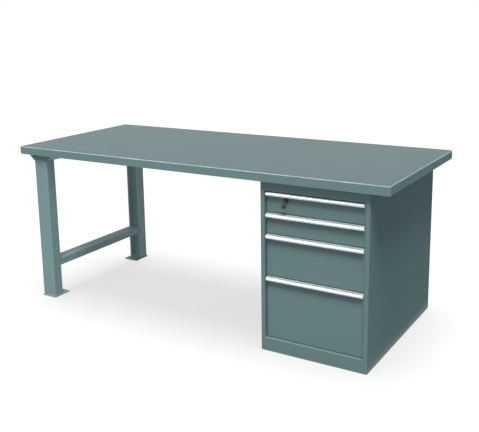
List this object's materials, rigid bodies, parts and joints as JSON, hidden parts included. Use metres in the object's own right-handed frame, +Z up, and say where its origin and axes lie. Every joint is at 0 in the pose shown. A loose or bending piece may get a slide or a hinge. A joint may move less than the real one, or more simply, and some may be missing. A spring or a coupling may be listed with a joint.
{
  "type": "workbench with drawers",
  "caption": "Steel workbench: flat folded-sheet worktop on a left leg frame of lipped channel posts and a right pedestal of locking full-extension drawers with full-width alloy pulls.",
  "frame": {"origin": "at floor level under the middle of the worktop", "axes": "+X along the worktop to the pedestal end, -Y out of the drawer fronts, +Z up"},
  "size_m": [2.134, 0.914, 0.864],
  "materials": {
    "painted_steel": "satin grey-green powder coat",
    "handle_alloy": "satin anodised extrusion",
    "zinc_steel": "bright zinc plate",
    "label_plastic": "plain blank strip",
    "lock_chrome": "satin plated",
    "key_plastic": "moulded black",
    "key_steel": "nickel plate",
    "buffer_rubber": "matt black"
  },
  "bodies": {
    "root": {"worktop_shell": "painted_steel", "worktop_long_stiffeners": "painted_steel", "worktop_cross_channels": "painted_steel", "leg_head_channel": "painted_steel", "front_post": "painted_steel", "rear_post": "painted_steel", "leg_cross_rail": "painted_steel", "front_foot_plate": "painted_steel", "rear_foot_plate": "painted_steel", "leg_bolts": "zinc_steel", "pedestal_side_left": "painted_steel", "pedestal_side_right": "painted_steel", "pedestal_back": "painted_steel", "pedestal_floor_panel": "painted_steel", "pedestal_top_panel": "painted_steel", "pedestal_top_rail": "painted_steel", "pedestal_plinth": "painted_steel", "slide_uprights": "zinc_steel", "slide_outer_members": "zinc_steel", "pedestal_bolts": "zinc_steel", "drawer_bumpers": "buffer_rubber"},
    "drawer_1": {"drawer_1_front": "painted_steel", "drawer_1_box": "painted_steel", "drawer_1_handle": "handle_alloy", "drawer_1_label_strip": "label_plastic", "drawer_1_inner_members": "zinc_steel", "handle_rivets_1": "zinc_steel", "lock_body": "key_plastic"},
    "drawer_1_middle": {"drawer_1_middle_members": "zinc_steel"},
    "drawer_2": {"drawer_2_front": "painted_steel", "drawer_2_box": "painted_steel", "drawer_2_handle": "handle_alloy", "drawer_2_label_strip": "label_plastic", "drawer_2_inner_members": "zinc_steel", "handle_rivets_2": "zinc_steel"},
    "drawer_2_middle": {"drawer_2_middle_members": "zinc_steel"},
    "drawer_3": {"drawer_3_front": "painted_steel", "drawer_3_box": "painted_steel", "drawer_3_handle": "handle_alloy", "drawer_3_label_strip": "label_plastic", "drawer_3_inner_members": "zinc_steel", "handle_rivets_3": "zinc_steel"},
    "drawer_3_middle": {"drawer_3_middle_members": "zinc_steel"},
    "drawer_4": {"drawer_4_front": "painted_steel", "drawer_4_box": "painted_steel", "drawer_4_handle": "handle_alloy", "drawer_4_label_strip": "label_plastic", "drawer_4_inner_members": "zinc_steel", "handle_rivets_4": "zinc_steel"},
    "drawer_4_middle": {"drawer_4_middle_members": "zinc_steel"},
    "lock": {"lock_plug": "lock_chrome", "lock_cam": "zinc_steel", "key_head": "key_plastic", "key_blade": "key_steel"},
    "lock_bolt": {"lock_bolt": "zinc_steel"},
    "key_ring": {"key_ring": "key_steel"},
    "spare_key": {"spare_key_head": "key_plastic", "spare_key_blade": "key_steel"}
  },
  "joints": [
    {"name": "drawer_1_slide", "type": "slide", "parent": "root", "child": "drawer_1", "axis": [0, -1, 0], "range_m": [0, 0.68]},
    {"name": "drawer_1_middle_slide", "type": "slide", "parent": "root", "child": "drawer_1_middle", "axis": [0, -1, 0], "range_m": [0, 0.34]},
    {"name": "drawer_2_slide", "type": "slide", "parent": "root", "child": "drawer_2", "axis": [0, -1, 0], "range_m": [0, 0.68]},
    {"name": "drawer_2_middle_slide", "type": "slide", "parent": "root", "child": "drawer_2_middle", "axis": [0, -1, 0], "range_m": [0, 0.34]},
    {"name": "drawer_3_slide", "type": "slide", "parent": "root", "child": "drawer_3", "axis": [0, -1, 0], "range_m": [0, 0.68]},
    {"name": "drawer_3_middle_slide", "type": "slide", "parent": "root", "child": "drawer_3_middle", "axis": [0, -1, 0], "range_m": [0, 0.34]},
    {"name": "drawer_4_slide", "type": "slide", "parent": "root", "child": "drawer_4", "axis": [0, -1, 0], "range_m": [0, 0.68]},
    {"name": "drawer_4_middle_slide", "type": "slide", "parent": "root", "child": "drawer_4_middle", "axis": [0, -1, 0], "range_m": [0, 0.34]},
    {"name": "key_turn", "type": "hinge", "parent": "drawer_1", "child": "lock", "pos_m": [0.571, -0.418, 0.737], "axis": [0, -1, 0], "range_deg": [0, 90]},
    {"name": "lock_bolt_slide", "type": "slide", "parent": "drawer_1", "child": "lock_bolt", "axis": [0, 0, 1], "range_m": [0, 0.01]},
    {"name": "key_ring_swing", "type": "hinge", "parent": "lock", "child": "key_ring", "pos_m": [0.571, -0.44, 0.737], "axis": [-1, 0, 0], "range_deg": [-5, 35]},
    {"name": "spare_key_swing", "type": "hinge", "parent": "key_ring", "child": "spare_key", "pos_m": [0.571, -0.44, 0.7199], "axis": [-0.7071, 0.7071, 0], "range_deg": [-5, 25]}
  ],
  "couplings": [
    {"joint": "drawer_1_middle_slide", "follows": "drawer_1_slide", "ratio": 0.5},
    {"joint": "drawer_2_middle_slide", "follows": "drawer_2_slide", "ratio": 0.5},
    {"joint": "drawer_3_middle_slide", "follows": "drawer_3_slide", "ratio": 0.5},
    {"joint": "drawer_4_middle_slide", "follows": "drawer_4_slide", "ratio": 0.5},
    {"joint": "lock_bolt_slide", "follows": "key_turn", "m_per_rad": 0.0063662}
  ]
}
